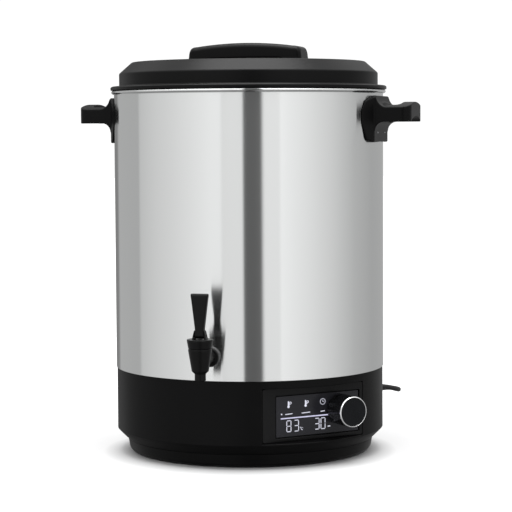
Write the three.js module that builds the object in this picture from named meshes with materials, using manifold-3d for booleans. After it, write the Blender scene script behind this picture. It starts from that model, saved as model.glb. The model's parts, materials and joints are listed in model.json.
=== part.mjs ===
// Electric all in one brewer: a steel pot on a heated base, with a lid, a lever tap and a
// control panel. Millimetres, +Z up, floor at z = 0. The pot's axis is the Z axis, the tap faces
// -Y and the side handles are on +-X.
import * as THREE from 'three';
import { mergeVertices } from 'three/addons/utils/BufferGeometryUtils.js';
import Module from 'manifold-3d';

const wasm = await Module();
wasm.setup();

// ---------------------------------------------------------------- driving dimensions
const GAP = 0.3; // clearance between pieces that touch
const FACETS = 48; // sides of the large round pieces

const POT_R = 180; // outside radius of the steel wall
const WALL = 1.2; // thickness of the steel
const POT_FLOOR_Z = 107.4; // underside of the pot's floor
const POT_STEP_Z = 113; // shoulder where the wall steps in to enter the base
const POT_NECK_R = 175.6; // outside radius of the stepped-in lower band
const RIM_Z = 479.6; // centre of the rolled rim
const RIM_BEAD_R = 2.4;

const BASE_R = 179; // outside radius of the base housing
const BASE_TOP_Z = POT_STEP_Z - GAP;
const BASE_BOTTOM_Z = 18; // bottom of the housing's undercut
const UNDERCUT_Z = 29.5; // where the undercut starts
const PLINTH_TOP_R = 166;
const PLINTH_R = 163;
const SHELL = 2.5; // thickness of the moulded shells
const REST_Z = 2.5; // underside of the plinth and of its central boss
const FOOT_RING_R = 140;
const SCREW_RING_R = 150;
const BOARD_Z = 22; // underside of the power board

const PANEL_TURN = Math.PI / 4; // the panel looks halfway between -Y and +X
const PANEL_D = 161; // distance of the panel's flat face from the axis
const PANEL = { left: -71.7, right: 77.2, bottom: 33.1, top: 102.6 };
const RECESS = { left: -73.2, right: 79.2, bottom: 32.8, top: 102.9 };
const RECESS_WALL = 3.8; // thickness of the recess's side walls
const RECESS_SHELF = 2.8; // thickness of the recess's top and bottom
const RECESS_BACK = 154.4; // distance of the back of the recess's box from the axis
const WINDOW = { left: -52.5, right: 72.8, bottom: 38, top: 92.6 };
const KNOB = { s: 42.5, z: 69.4, radius: 19.8, back: 162, front: 195.4 };

const TAP_Z = 144.4; // axis of the tap's shank
const TAP_Y = -224; // upright axis of the tap
const TAP_SEAT_Z = 138;
const BONNET_Z = 160;
const BONNET_TOP_Z = 171.5;
const LEVER_PIVOT_Z = 176.5;
const LEVER_TOP_Z = 228;

const HANDLE_BOTTOM_Z = 412.4;
const HANDLE_TOP_Z = 473;
const HANDLE_SCREW = { y: 22, z: 425 };

const LID_Z = 482.4; // underside of the lid's flange
const LID_TOP_Z = 519.5;
const LID_HANDLE = { half: 78.5, width: 46, crest: 545, end: 539 };

const CORD_D = 7;
const CORD_TURN = THREE.MathUtils.degToRad(150); // the lead leaves the housing at the back right
const CORD_Z = 60;

// ---------------------------------------------------------------- materials
const material = (color, roughness, metalness) =>
  new THREE.MeshStandardMaterial({ color, roughness, metalness });
const steel = material(0xd6d6d4, 0.16, 1);
const zinc = material(0xb4b6b8, 0.35, 1);
const aluminium = material(0xb9bcbe, 0.45, 1);
const chrome = material(0xe8e8e8, 0.08, 1);
const plastic = material(0x1d1e20, 0.42, 0);
const panelPlastic = material(0x232426, 0.35, 0);
const glass = material(0x2b2c30, 0.08, 0);
const rubber = material(0x161616, 0.85, 0);
const silicone = material(0xcfcac0, 0.6, 0);
const board = material(0x1f5a35, 0.5, 0);
const whitePlastic = material(0xe6e3da, 0.5, 0);
const cordPvc = material(0x131314, 0.55, 0);

// ---------------------------------------------------------------- solids
function toSolid(source) {
  const bare = source.clone();
  for (const name of Object.keys(bare.attributes)) {
    if (name !== 'position') bare.deleteAttribute(name);
  }
  const merged = mergeVertices(bare, 1e-4);
  const index = merged.index.array;
  const triangles = [];
  for (let i = 0; i < index.length; i += 3) {
    const [a, b, c] = [index[i], index[i + 1], index[i + 2]];
    if (a !== b && b !== c && c !== a) triangles.push(a, b, c);
  }
  const mesh = new wasm.Mesh({
    numProp: 3,
    vertProperties: Float32Array.from(merged.attributes.position.array),
    triVerts: Uint32Array.from(triangles),
  });
  return new wasm.Manifold(mesh);
}

function toGeometry(solid) {
  const mesh = solid.getMesh();
  const geometry = new THREE.BufferGeometry();
  geometry.setAttribute('position', new THREE.BufferAttribute(mesh.vertProperties, 3));
  geometry.setIndex(new THREE.BufferAttribute(mesh.triVerts, 1));
  return geometry;
}

function join(first, ...rest) {
  return toGeometry(rest.reduce((sum, geometry) => sum.add(toSolid(geometry)), toSolid(first)));
}

function cut(first, ...rest) {
  return toGeometry(rest.reduce((sum, geometry) => sum.subtract(toSolid(geometry)), toSolid(first)));
}

function common(first, second) {
  return toGeometry(toSolid(first).intersect(toSolid(second)));
}

const at = (geometry, x, y, z) => geometry.translate(x, y, z);

// Moves a piece made on the Z axis out to a radius, at an angle about Z.
const onRing = (geometry, radius, angle) =>
  at(geometry, radius * Math.cos(angle), radius * Math.sin(angle), 0);

function vectors(points) {
  return points.map(([x, y]) => new THREE.Vector2(x, y));
}

// Solid of revolution about Z from [radius, z] points that run anticlockwise: up the outside,
// then down the inside.
function revolve(points, facets = FACETS) {
  const closed = points[0][0] > 0 || points[points.length - 1][0] > 0;
  const profile = vectors(closed ? [...points, points[0]] : points);
  const lathe = new THREE.LatheGeometry(profile, facets);
  return toGeometry(toSolid(lathe.rotateX(Math.PI / 2)));
}

function upright(radius, low, high, facets = 24) {
  return revolve([[0, low], [radius, low], [radius, high], [0, high]], facets);
}

function ring(inner, outer, low, high, facets = 24) {
  return revolve([[outer, low], [outer, high], [inner, high], [inner, low]], facets);
}

// A revolved piece whose axis points along -Y: a profile's z becomes the distance in front of y = 0.
const forward = (geometry) => geometry.rotateX(Math.PI / 2);

function block(x0, x1, y0, y1, z0, z1) {
  const box = new THREE.BoxGeometry(x1 - x0, y1 - y0, z1 - z0);
  return at(box, (x0 + x1) / 2, (y0 + y1) / 2, (z0 + z1) / 2);
}

// Prism along Z from a plan outline.
function prism(outline, low, high, curveSegments = 6) {
  const shape = Array.isArray(outline) ? new THREE.Shape(vectors(outline)) : outline;
  const settings = { depth: high - low, bevelEnabled: false, curveSegments };
  const body = new THREE.ExtrudeGeometry(shape, settings);
  return at(body, 0, 0, low);
}

// Prism along X from an outline in (y, z).
function prismX(outline, low, high, curveSegments = 6) {
  const body = prism(outline, low, high, curveSegments);
  return body.rotateZ(Math.PI / 2).rotateY(Math.PI / 2);
}

// Prism along Y from an outline in (x, z), between y = low and y = high.
function prismY(outline, low, high, curveSegments = 6) {
  const body = prism(outline, -high, -low, curveSegments);
  return body.rotateX(Math.PI / 2);
}

function roundedRect(x0, x1, y0, y1, r) {
  const shape = new THREE.Shape();
  shape.moveTo(x0 + r, y0);
  shape.lineTo(x1 - r, y0);
  shape.absarc(x1 - r, y0 + r, r, -Math.PI / 2, 0);
  shape.lineTo(x1, y1 - r);
  shape.absarc(x1 - r, y1 - r, r, 0, Math.PI / 2);
  shape.lineTo(x0 + r, y1);
  shape.absarc(x0 + r, y1 - r, r, Math.PI / 2, Math.PI);
  shape.lineTo(x0, y0 + r);
  shape.absarc(x0 + r, y0 + r, r, Math.PI, 1.5 * Math.PI);
  return shape;
}

function circle(radius, sides) {
  const corners = [];
  for (let i = 0; i < sides; i += 1) {
    const angle = (2 * Math.PI * i) / sides;
    corners.push([radius * Math.cos(angle), radius * Math.sin(angle)]);
  }
  return new THREE.Shape(vectors(corners));
}

function tube(points, radius, sides, steps) {
  const path = new THREE.CatmullRomCurve3(points.map((p) => new THREE.Vector3(...p)));
  const settings = { steps, extrudePath: path, bevelEnabled: false };
  return new THREE.ExtrudeGeometry(circle(radius, sides), settings);
}

const brewer = new THREE.Group();

function add(name, geometry, look, group = brewer) {
  const mesh = new THREE.Mesh(geometry, look);
  mesh.name = name;
  group.add(mesh);
  return mesh;
}

function turned(angle) {
  const group = new THREE.Group();
  group.rotation.z = angle;
  brewer.add(group);
  return group;
}

// ---------------------------------------------------------------- pot
function beadPoints() {
  const points = [];
  const centre = POT_R + 1.1;
  for (let i = 0; i <= 4; i += 1) {
    const angle = -Math.PI * 0.6 + (Math.PI * 1.2 * i) / 4;
    points.push([centre + RIM_BEAD_R * Math.cos(angle), RIM_Z + RIM_BEAD_R * Math.sin(angle)]);
  }
  return points;
}

function makePot() {
  const inner = POT_R - WALL;
  const neckInner = POT_NECK_R - WALL;
  const floorTop = POT_FLOOR_Z + WALL;
  const body = revolve([
    [0, POT_FLOOR_Z],
    [POT_NECK_R - 3.4, POT_FLOOR_Z],
    [POT_NECK_R, POT_FLOOR_Z + 3.4],
    [POT_NECK_R, POT_STEP_Z],
    [POT_R, POT_STEP_Z],
    [POT_R, RIM_Z - RIM_BEAD_R],
    ...beadPoints(),
    [inner, RIM_Z + 1.5],
    [inner, POT_STEP_Z + WALL],
    [neckInner, POT_STEP_Z + WALL],
    [neckInner, floorTop + 3.4],
    [neckInner - 3.4, floorTop],
    [0, floorTop],
  ]);
  const tapHole = at(forward(upright(8 + GAP, 170, 190, 16)), 0, 0, TAP_Z);
  const screwHoles = [];
  for (const side of [-1, 1]) {
    for (const y of [-HANDLE_SCREW.y, HANDLE_SCREW.y]) {
      const hole = upright(2 + GAP, 165, 190, 8).rotateY((side * Math.PI) / 2);
      screwHoles.push(at(hole, 0, y, HANDLE_SCREW.z));
    }
  }
  add('vessel', cut(body, tapHole, ...screwHoles), steel);
}

function makeFalseBottom() {
  const low = POT_STEP_Z + WALL + GAP;
  const plate = upright(177.6, low, low + 1.5, FACETS);
  const holes = [];
  const rows = [[60, 6], [104, 10], [148, 14]];
  for (const [radius, count] of rows) {
    for (let i = 0; i < count; i += 1) {
      const angle = (2 * Math.PI * i) / count;
      holes.push(onRing(upright(6, low - 5, low + 5, 6), radius, angle));
    }
  }
  const lift = revolve([
    [0, low + 1],
    [5, low + 1],
    [5, low + 14],
    [12, low + 18],
    [12, low + 24],
    [0, low + 24],
  ], 16);
  add('false_bottom', join(cut(plate, ...holes), lift), steel);
}

// ---------------------------------------------------------------- side handles
// Points of a concave quarter circle in (x, z), from its low or high end on the arm to the wall.
function sweep(x, z, radius, from, to) {
  const points = [];
  for (let i = 0; i <= 4; i += 1) {
    const angle = THREE.MathUtils.degToRad(from + ((to - from) * i) / 4);
    points.push([x + radius * Math.cos(angle), z + radius * Math.sin(angle)]);
  }
  return points;
}

function handleShape() {
  const plan = [[160, -68.5], [166.6, -68.5], [181.5, -42], [181.5, 42], [166.6, 68.5], [160, 68.5]];
  const half = [[44, HANDLE_BOTTOM_Z], [54, 416], [68.5, 447], [56, 466], [38, HANDLE_TOP_Z]];
  const face = [...half, ...half.map(([y, z]) => [-y, z]).reverse()];
  const above = [[172, 450], [199, 450], ...sweep(199, 473.6, 16, 270, 180), [172, HANDLE_TOP_Z]];
  const below = [[172, 445], [172, 427], ...sweep(194, 427, 12, 180, 90), [194, 445]];
  const loop = prism(roundedRect(170, 228, -42.5, 42.5, 13), 436, 468);
  const arch = new THREE.Shape();
  arch.moveTo(-45, 439);
  arch.lineTo(-31, 439);
  arch.quadraticCurveTo(0, 453, 31, 439);
  arch.lineTo(45, 439);
  arch.lineTo(45, 457);
  arch.quadraticCurveTo(0, 473, -45, 457);
  const grip = common(loop, prismX(arch, 165, 232, 8));
  const plate = prism(plan, HANDLE_BOTTOM_Z, HANDLE_TOP_Z);
  const slot = prism(roundedRect(188, 212.5, -31, 31, 8), 420, 480);
  const all = join(plate, prismY(above, -42.5, 42.5), prismY(below, -42.5, 42.5), grip);
  return cut(common(all, prismX(face, 155, 235)), slot);
}

function makeHandles() {
  const wall = upright(POT_R + GAP, 400, 490, FACETS);
  for (const [name, side] of [['right', 1], ['left', -1]]) {
    const group = turned(side > 0 ? 0 : Math.PI);
    const pilots = [-1, 1].map((end) =>
      at(upright(2 + GAP, 165, 183, 8).rotateY(Math.PI / 2), 0, end * HANDLE_SCREW.y, HANDLE_SCREW.z)
    );
    add(`handle_${name}`, cut(handleShape(), wall, ...pilots), plastic, group);
    for (const end of [-1, 1]) {
      const screw = revolve([[0, 173.4], [4, 173.4], [4, 176.2], [2, 176.2], [2, 182.4], [0, 182.4]], 6);
      const placed = at(screw.rotateY(Math.PI / 2), 0, end * HANDLE_SCREW.y, HANDLE_SCREW.z);
      add(`handle_screw_${name}_${end < 0 ? 'a' : 'b'}`, placed, zinc, group);
    }
  }
}

// ---------------------------------------------------------------- lid
function makeLid() {
  const shell = revolve([
    [0, LID_TOP_Z - SHELL],
    [154.9, LID_TOP_Z - SHELL],
    [170.5, 503.4],
    [170.5, 470.5],
    [173, 470.5],
    [173, LID_Z],
    [184.6, LID_Z],
    [184.6, 485.6],
    [182.8, 487.3],
    [173, 488],
    [173, 504.5],
    [156, LID_TOP_Z],
    [0, LID_TOP_Z],
  ]);
  const wellOuter = prism(roundedRect(-54, 54, -47, 47, 20), 503, LID_TOP_Z - 1);
  const wellInner = prism(roundedRect(-51, 51, -44, 44, 17), 506, LID_TOP_Z + 5);
  const screwHoles = [-68, 68].map((x) => at(upright(2 + GAP, 510, 525, 8), x, 0, 0));
  add('lid_shell', cut(join(shell, wellOuter), wellInner, ...screwHoles), plastic);

  const { half, width, crest, end } = LID_HANDLE;
  const bar = new THREE.Shape();
  bar.moveTo(-half, LID_TOP_Z + GAP);
  bar.lineTo(-58, LID_TOP_Z + GAP);
  bar.quadraticCurveTo(-55.5, 523.6, -46, 524);
  bar.quadraticCurveTo(0, 525.2, 46, 524);
  bar.quadraticCurveTo(55.5, 523.6, 58, LID_TOP_Z + GAP);
  bar.lineTo(half, LID_TOP_Z + GAP);
  bar.lineTo(half - 1.5, end - 5);
  bar.quadraticCurveTo(half - 3, end, half - 10, end + 1.2);
  bar.quadraticCurveTo(0, 2 * crest - end - 1.2, -half + 10, end + 1.2);
  bar.quadraticCurveTo(-half + 3, end, -half + 1.5, end - 5);
  const pilots = [-68, 68].map((x) => at(upright(2 + GAP, 515, 531, 8), x, 0, 0));
  add('lid_handle', cut(prismY(bar, -width / 2, width / 2, 5), ...pilots), plastic);

  for (const [name, x] of [['left', -68], ['right', 68]]) {
    const screw = revolve([[0, 514], [4, 514], [4, 516.7], [2, 516.7], [2, 530.4], [0, 530.4]], 6);
    add(`lid_screw_${name}`, at(screw, x, 0, 0), zinc);
  }
}

// ---------------------------------------------------------------- tap
function makeTap() {
  const upper = revolve([
    [0, 119.8],
    [7, 119.8],
    [7, 128.4],
    [10.6, 131.8],
    [14.8, 157],
    [14.8, BONNET_Z - GAP],
    [12.5, BONNET_Z - GAP],
    [12.5, 166],
    [0, 166],
  ], 24);
  const shank = forward(revolve([
    [0, 162],
    [8, 162],
    [8, 183.6],
    [12.2, 183.6],
    [12.2, 187.6],
    [8, 187.6],
    [8, 222],
    [0, 222],
  ], 16));
  const chamber = upright(9, TAP_SEAT_Z, 170, 16);
  const spout = upright(4.5, 110, TAP_SEAT_Z + 1, 12);
  const inlet = forward(upright(5, 155, 222, 12));
  const body = join(at(upper, 0, TAP_Y, 0), at(shank, 0, 0, TAP_Z));
  const hollow = cut(body, at(chamber, 0, TAP_Y, 0), at(spout, 0, TAP_Y, 0), at(inlet, 0, 0, TAP_Z));
  add('tap_body', hollow, plastic);

  add('tap_washer_outer', at(forward(ring(8 + GAP, 12.2, 180.3, 183.3, 16)), 0, 0, TAP_Z), silicone);
  add('tap_washer_inner', at(forward(ring(8 + GAP, 13, 175.2, 177.6, 16)), 0, 0, TAP_Z), silicone);
  const nut = forward(cut(upright(14, 167, 174.9, 6), upright(8 + GAP, 160, 180, 16)));
  add('tap_nut', at(nut, 0, 0, TAP_Z), zinc);

  const cap = revolve([
    [14.9, BONNET_Z],
    [16.5, BONNET_TOP_Z - 1],
    [15.5, BONNET_TOP_Z],
    [3.3, BONNET_TOP_Z],
    [3.3, 166.5],
    [12.8, 166.5],
    [12.8, BONNET_Z],
  ], 24);
  const earOutline = [[6.3, 170.5], [9, 170.5], [9, 172.3], [6.9, 181.5], [6.3, 181.5]];
  const mirrored = earOutline.map(([x, z]) => [-x, z]).reverse();
  const ears = [earOutline, mirrored].map((outline) => prismY(outline, -4.5, 4.5));
  const pinHole = at(upright(1.5 + GAP, -12, 12, 12).rotateY(Math.PI / 2), 0, 0, LEVER_PIVOT_Z);
  add('tap_bonnet', at(cut(join(cap, ...ears), pinHole), 0, TAP_Y, 0), plastic);

  const side = new THREE.Shape();
  side.moveTo(-4.5, LEVER_PIVOT_Z);
  side.absarc(0, LEVER_PIVOT_Z, 4.5, Math.PI, 2 * Math.PI);
  side.lineTo(4.5, LEVER_PIVOT_Z);
  side.lineTo(3.4, LEVER_TOP_Z - 2);
  side.lineTo(1.4, LEVER_TOP_Z);
  side.lineTo(-1.4, LEVER_TOP_Z);
  side.lineTo(-3.4, LEVER_TOP_Z - 2);
  const front = [[-5.7, 168], [5.7, 168], [5.7, 184.7], [10.6, 222], [11.5, 226], [10, LEVER_TOP_Z + 1]];
  const frontOutline = [...front, ...front.slice(2).reverse().map(([x, z]) => [-x, z])];
  const paddle = common(prismX(side, -20, 20, 10), prismY(frontOutline, -10, 10));
  const leverHole = at(upright(1.5 + GAP, -12, 12, 12).rotateY(Math.PI / 2), 0, 0, LEVER_PIVOT_Z);
  add('tap_lever', at(cut(paddle, leverHole), 0, TAP_Y, 0), plastic);
  add('tap_lever_pin', at(upright(1.5, -7.4, 7.4, 12).rotateY(Math.PI / 2), 0, TAP_Y, LEVER_PIVOT_Z), zinc);

  const stem = revolve([[0, 141], [3, 141], [3, 167.7], [0, 167.7]], 16);
  add('tap_stem', at(stem, 0, TAP_Y, 0), zinc);
  const cup = revolve([
    [0, TAP_SEAT_Z + GAP],
    [7.6, TAP_SEAT_Z + GAP],
    [7.6, 141],
    [5, 146],
    [3.3, 146],
    [3.3, 140.7],
    [0, 140.7],
  ], 12);
  add('tap_seat_cup', at(cup, 0, TAP_Y, 0), silicone);
}

// ---------------------------------------------------------------- base
const screwAngles = [0, 90, 180, 270].map(THREE.MathUtils.degToRad);
const footAngles = [45, 135, 225, 315].map(THREE.MathUtils.degToRad);

function makeBaseHousing() {
  const inner = BASE_R - SHELL;
  const flangeTop = BASE_BOTTOM_Z + SHELL;
  const shell = revolve([
    [PLINTH_TOP_R, BASE_BOTTOM_Z],
    [BASE_R - 3, UNDERCUT_Z - 1.8],
    [BASE_R, UNDERCUT_Z + 2],
    [BASE_R, BASE_TOP_Z],
    [inner, BASE_TOP_Z],
    [inner, UNDERCUT_Z + 3],
    [PLINTH_TOP_R - 1.5, flangeTop],
    [SCREW_RING_R - 10, flangeTop],
    [SCREW_RING_R - 10, BASE_BOTTOM_Z],
  ]);
  const { left, right, bottom, top } = RECESS;
  const sides = [left - RECESS_WALL, right + RECESS_WALL];
  const shelves = [bottom - RECESS_SHELF, top + RECESS_SHELF];
  const box = block(...sides, -BASE_R + 3, -RECESS_BACK, ...shelves).rotateZ(PANEL_TURN);
  const niche = common(box, upright(BASE_R - 1, 25, 110, FACETS));
  const recess = block(left, right, -200, -PANEL_D + 3.7, bottom, top).rotateZ(PANEL_TURN);
  const displayHole = block(-50, 22, -170, -150, 44, 91).rotateZ(PANEL_TURN);
  const encoderHole = at(forward(upright(6, 150, 170, 16)), KNOB.s, 0, KNOB.z).rotateZ(PANEL_TURN);
  const bosses = screwAngles.map((angle) => onRing(upright(5, flangeTop - 1, 34, 10), SCREW_RING_R, angle));
  const pilots = screwAngles.map((angle) => onRing(upright(1.8 + GAP, 10, 31, 8), SCREW_RING_R, angle));
  const cordHole = at(forward(upright(8 + GAP, 170, 185, 20)), 0, 0, CORD_Z).rotateZ(CORD_TURN);
  const body = join(shell, niche, ...bosses);
  add('base_housing', cut(body, recess, displayHole, encoderHole, cordHole, ...pilots), plastic);
}

function makeBottomCover() {
  const floor = 5;
  const top = BASE_BOTTOM_Z - GAP;
  const dish = revolve([
    [0, REST_Z],
    [30, REST_Z],
    [32, floor],
    [PLINTH_R - 6, floor],
    [PLINTH_R - 4, REST_Z],
    [PLINTH_R - 2.2, REST_Z],
    [PLINTH_R, REST_Z + 2.8],
    [PLINTH_TOP_R - 0.6, top],
    [SCREW_RING_R + 9, top],
    [SCREW_RING_R + 9, floor + SHELL],
    [0, floor + SHELL],
  ]);
  const bosses = screwAngles.map((angle) => onRing(upright(6, floor + 1, top, 10), SCREW_RING_R, angle));
  const postPlaces = [[-40, 40], [40, 40], [-40, 100], [40, 100]];
  const posts = postPlaces.map(([x, y]) => at(upright(3.5, 6, BOARD_Z - GAP, 8), x, y, 0));
  const screwHoles = screwAngles.flatMap((angle) => [
    onRing(upright(1.8 + GAP, -5, 30, 8), SCREW_RING_R, angle),
    onRing(upright(4.5, -5, 9, 10), SCREW_RING_R, angle),
  ]);
  const footHoles = footAngles.map((angle) => onRing(upright(3 + GAP, 0, 12, 10), FOOT_RING_R, angle));
  const vents = [];
  for (let i = 0; i < 8; i += 1) {
    const slot = block(60, 95, -2, 2, 0, 12);
    vents.push(slot.rotateZ((i + 0.5) * (Math.PI / 4)));
  }
  add('bottom_cover', cut(join(dish, ...bosses, ...posts), ...screwHoles, ...footHoles, ...vents), plastic);

  footAngles.forEach((angle, i) => {
    const foot = revolve([
      [0, 0],
      [12.5, 0],
      [14, 1.5],
      [14, 4.7],
      [3, 4.7],
      [3, 7.8],
      [4.6, 7.8],
      [3, 11],
      [0, 11],
    ], 10);
    add(`foot_${i + 1}`, onRing(foot, FOOT_RING_R, angle), rubber);
  });
  screwAngles.forEach((angle, i) => {
    const screw = revolve([[0, 5.9], [4, 5.9], [4, 8.7], [1.8, 8.7], [1.8, 30], [0, 30]], 6);
    add(`base_screw_${i + 1}`, onRing(screw, SCREW_RING_R, angle), zinc);
  });
}

// ---------------------------------------------------------------- control panel
// Built facing -Y and turned to its place: x runs to the right along the panel and -y is the
// distance from the pot's axis.
function makePanel() {
  const group = turned(PANEL_TURN);
  const outline = roundedRect(PANEL.left, PANEL.right, PANEL.bottom, PANEL.top, 3);
  const opening = roundedRect(WINDOW.left, WINDOW.right, WINDOW.bottom, WINDOW.top, 1.5);
  const frame = cut(prismY(outline, -PANEL_D, -PANEL_D + 3.4, 3), prismY(opening, -170, -150, 3));
  add('panel_frame', frame, panelPlastic, group);

  const { left, right, bottom, top } = WINDOW;
  const pane = roundedRect(left + 0.5, right - 0.5, bottom + 0.5, top - 0.5, 1.2);
  const shaftHole = at(forward(upright(5.2, 150, 170, 16)), KNOB.s, 0, KNOB.z);
  const glassPane = cut(prismY(pane, -PANEL_D + 1.2, -PANEL_D + 3.4, 3), shaftHole);
  add('display_window', glassPane, glass, group);

  const display = join(block(-48, 20, -157, -150, 46, 89), block(-44, 16, -151, -149.2, 50, 85));
  add('display_module', display, whitePlastic, group);
  const chipPlaces = [[-40, 56], [-15, 78], [8, 60]];
  const chips = chipPlaces.map(([x, z]) => block(x - 6, x + 6, -147.5, -143.8, z - 5, z + 5));
  add('control_pcb', join(block(-55, 60, -148.5, -146.9, 44, 92), ...chips), board, group);

  const place = (geometry) => at(forward(geometry), KNOB.s, 0, KNOB.z);
  const { s, z } = KNOB;
  const shellBox = block(s - 7, s + 7, -154, -148.8, z - 7, z + 7);
  const bush = place(upright(4.6, 153, 158.6, 12));
  const cavity = place(upright(5.8, 149.8, 153, 12));
  const bore = place(upright(3 + GAP, 147, 162, 12));
  add('encoder_body', cut(join(shellBox, bush), cavity, bore), zinc, group);
  add('encoder_rotor', place(ring(3 + GAP, 5.4, 150.2, 152.6, 12)), whitePlastic, group);
  add('encoder_shaft', place(upright(3, 150.4, 185.6, 12)), aluminium, group);

  const { radius, back, front } = KNOB;
  const cap = revolve([
    [6, back + 2],
    [6, 188.6],
    [radius - 2.4, 188.6],
    [radius - 2.4, back],
    [radius - 0.6, back],
    [radius, back + 1],
    [radius, front - 3],
    [radius - 2.4, front - 3],
    [radius - 2.4, front - 0.8],
    [0, front - 0.8],
    [0, 186],
    [3 + GAP, 186],
    [3 + GAP, back + 2],
  ], 24);
  add('knob_cap', place(cap), plastic, group);
  const trim = revolve([
    [radius - 2, front - 2.7],
    [radius, front - 2.7],
    [radius, front - 1],
    [radius - 0.7, front],
    [radius - 1.6, front],
    [radius - 2, front - 0.6],
  ], 24);
  add('knob_ring', place(trim), chrome, group);
}

// ---------------------------------------------------------------- heater and electronics
function makeHeater() {
  const plateLow = POT_FLOOR_Z - GAP - 4.7;
  add('heat_plate', ring(12, 110, plateLow, POT_FLOOR_Z - GAP, 32), aluminium);

  const rodR = 4.5;
  const rodZ = plateLow - GAP - rodR;
  const path = [];
  const start = THREE.MathUtils.degToRad(285);
  const sweep = THREE.MathUtils.degToRad(330);
  path.push([80 * Math.cos(start), 80 * Math.sin(start), rodZ - 18]);
  path.push([80 * Math.cos(start + 0.02), 80 * Math.sin(start + 0.02), rodZ - 8]);
  for (let i = 1; i <= 22; i += 1) {
    const angle = start + (sweep * i) / 23;
    path.push([80 * Math.cos(angle), 80 * Math.sin(angle), rodZ]);
  }
  const last = start + sweep;
  path.push([80 * Math.cos(last - 0.02), 80 * Math.sin(last - 0.02), rodZ - 8]);
  path.push([80 * Math.cos(last), 80 * Math.sin(last), rodZ - 18]);
  add('heating_element', tube(path, rodR - 0.2, 6, 44), steel);

  const shieldTop = 68;
  add('heat_shield', revolve([
    [25, shieldTop - 1],
    [140, shieldTop - 1],
    [140, shieldTop + 8],
    [139, shieldTop + 8],
    [139, shieldTop],
    [25, shieldTop],
  ], 24), zinc);
  for (let i = 0; i < 3; i += 1) {
    const angle = (2 * Math.PI * i) / 3 + Math.PI / 6;
    add(`shield_spacer_${i + 1}`, onRing(upright(4, shieldTop + GAP, plateLow - GAP, 8), 55, angle), zinc);
  }
  const touch = POT_FLOOR_Z - GAP;
  const sensor = revolve([[0, 86], [8, 86], [8, 90], [6, 92], [6, touch], [0, touch]], 14);
  add('temperature_sensor', sensor, zinc);
  const top = plateLow - GAP;
  add('thermal_cutout', at(upright(8, top - 9, top, 16), 33, -12, 0), whitePlastic);
  add('thermal_fuse', at(upright(3, -12, 12, 12).rotateY(Math.PI / 2), -34, -20, top - 3), whitePlastic);

  const relayPlaces = [[-30, 58], [-6, 58], [22, 84]];
  const relays = relayPlaces.map(([x, y]) =>
    block(x - 9, x + 9, y - 8, y + 8, BOARD_Z + 1, BOARD_Z + 17)
  );
  const bare = block(-48, 48, 32, 108, BOARD_Z, BOARD_Z + 1.6);
  add('power_board', join(bare, ...relays), board);
  add('terminal_block', block(62, 92, 82, 102, 5 + SHELL + GAP, 24), whitePlastic);
}

// ---------------------------------------------------------------- mains lead
const CORD_ROUTE = [
  [111.4, 192.9, 59.8],
  [121, 209.6, 58.9],
  [130, 225.2, 56.5],
  [138.2, 239.4, 53.9],
  [144.4, 251.4, 51],
  [148.2, 263.8, 47.9],
  [148.8, 276.4, 45.6],
  [144.6, 288.2, 44.6],
  [135.8, 297.4, 44.4],
  [123.2, 302.6, 43.6],
  [109.6, 303.4, 40.3],
  [98.2, 302.2, 34.6],
  [87.6, 300.2, 27.4],
  [76.4, 297.8, 19.4],
  [64.4, 295.4, 11.8],
  [52.6, 293.2, 6.4],
  [40, 291.6, 3.8],
  [27.5, 291, 3.7],
];
const COIL = { x: 0, y: 246, middle: 41.5, across: 14, low: 0.2, high: 14.2 };
const TAIL_TURN = -Math.PI / 4; // the plug points away from the coil, along the pot's back
const TAIL_ROUTE = [
  [3.9, 290.9, 18.1],
  [-8, 290.3, 18.1],
  [-19.5, 286.6, 18.1],
  [-31.8, 277.8, 18.1],
  [-49.5, 260.1, 18.1],
  [-67.2, 242.4, 18.1],
  [-80.6, 229, 18.2],
];
const PLUG = { x: -80.8, y: 228.8, z: 18.2, radius: 18 };

function makeLead() {
  const relief = turned(CORD_TURN);
  const boot = revolve([
    [0, 171],
    [11, 171],
    [11, BASE_R - SHELL - 0.9],
    [8, BASE_R - SHELL - 0.9],
    [8, BASE_R + GAP],
    [11, BASE_R + GAP],
    [11, BASE_R + 3.5],
    [8, BASE_R + 5.5],
    [5, 222],
    [0, 222],
  ], 16);
  add('cord_strain_relief', at(forward(boot), 0, 0, CORD_Z), rubber, relief);
  add('cord', tube(CORD_ROUTE, CORD_D / 2, 8, 26), cordPvc);
  const { middle, across, low, high } = COIL;
  const coil = ring(middle - across / 2, middle + across / 2, low, high, 24);
  add('cord_coil', at(coil, COIL.x, COIL.y, 0), cordPvc);
  add('cord_tail', tube(TAIL_ROUTE, CORD_D / 2, 8, 10), cordPvc);

  const plug = turned(TAIL_TURN);
  plug.position.set(PLUG.x, PLUG.y, PLUG.z);
  const { radius } = PLUG;
  const shell = revolve([
    [0, 0.3],
    [5, 0.3],
    [7, 24],
    [13, 28],
    [radius, 38],
    [radius, 58],
    [radius - 1.5, 60],
    [0, 60],
  ], 18);
  const sockets = [-9.5, 9.5].map((x) => at(upright(2.4 + GAP, 45, 65, 12), x, 0, 0));
  add('plug_body', forward(cut(shell, ...sockets)), cordPvc, plug);
  [-9.5, 9.5].forEach((x, i) => {
    const pin = revolve([[0, 45.5], [2.4, 45.5], [2.4, 77.6], [1.2, 79], [0, 79]], 12);
    add(`plug_pin_${i + 1}`, forward(at(pin, x, 0, 0)), chrome, plug);
  });
}

makePot();
makeFalseBottom();
makeHandles();
makeLid();
makeTap();
makeBaseHousing();
makeBottomCover();
makePanel();
makeHeater();
makeLead();

export default brewer;
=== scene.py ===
"""Electric all in one brewer: the looks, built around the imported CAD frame.

Shapes are worked out in millimetres and written to meshes in metres by MM. Z is up, the tap faces
-Y, and the control panel faces halfway between -Y and +X.
"""

import json
from math import asin, atan2, ceil, copysign, cos, pi, radians, sin, sqrt, tan

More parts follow.
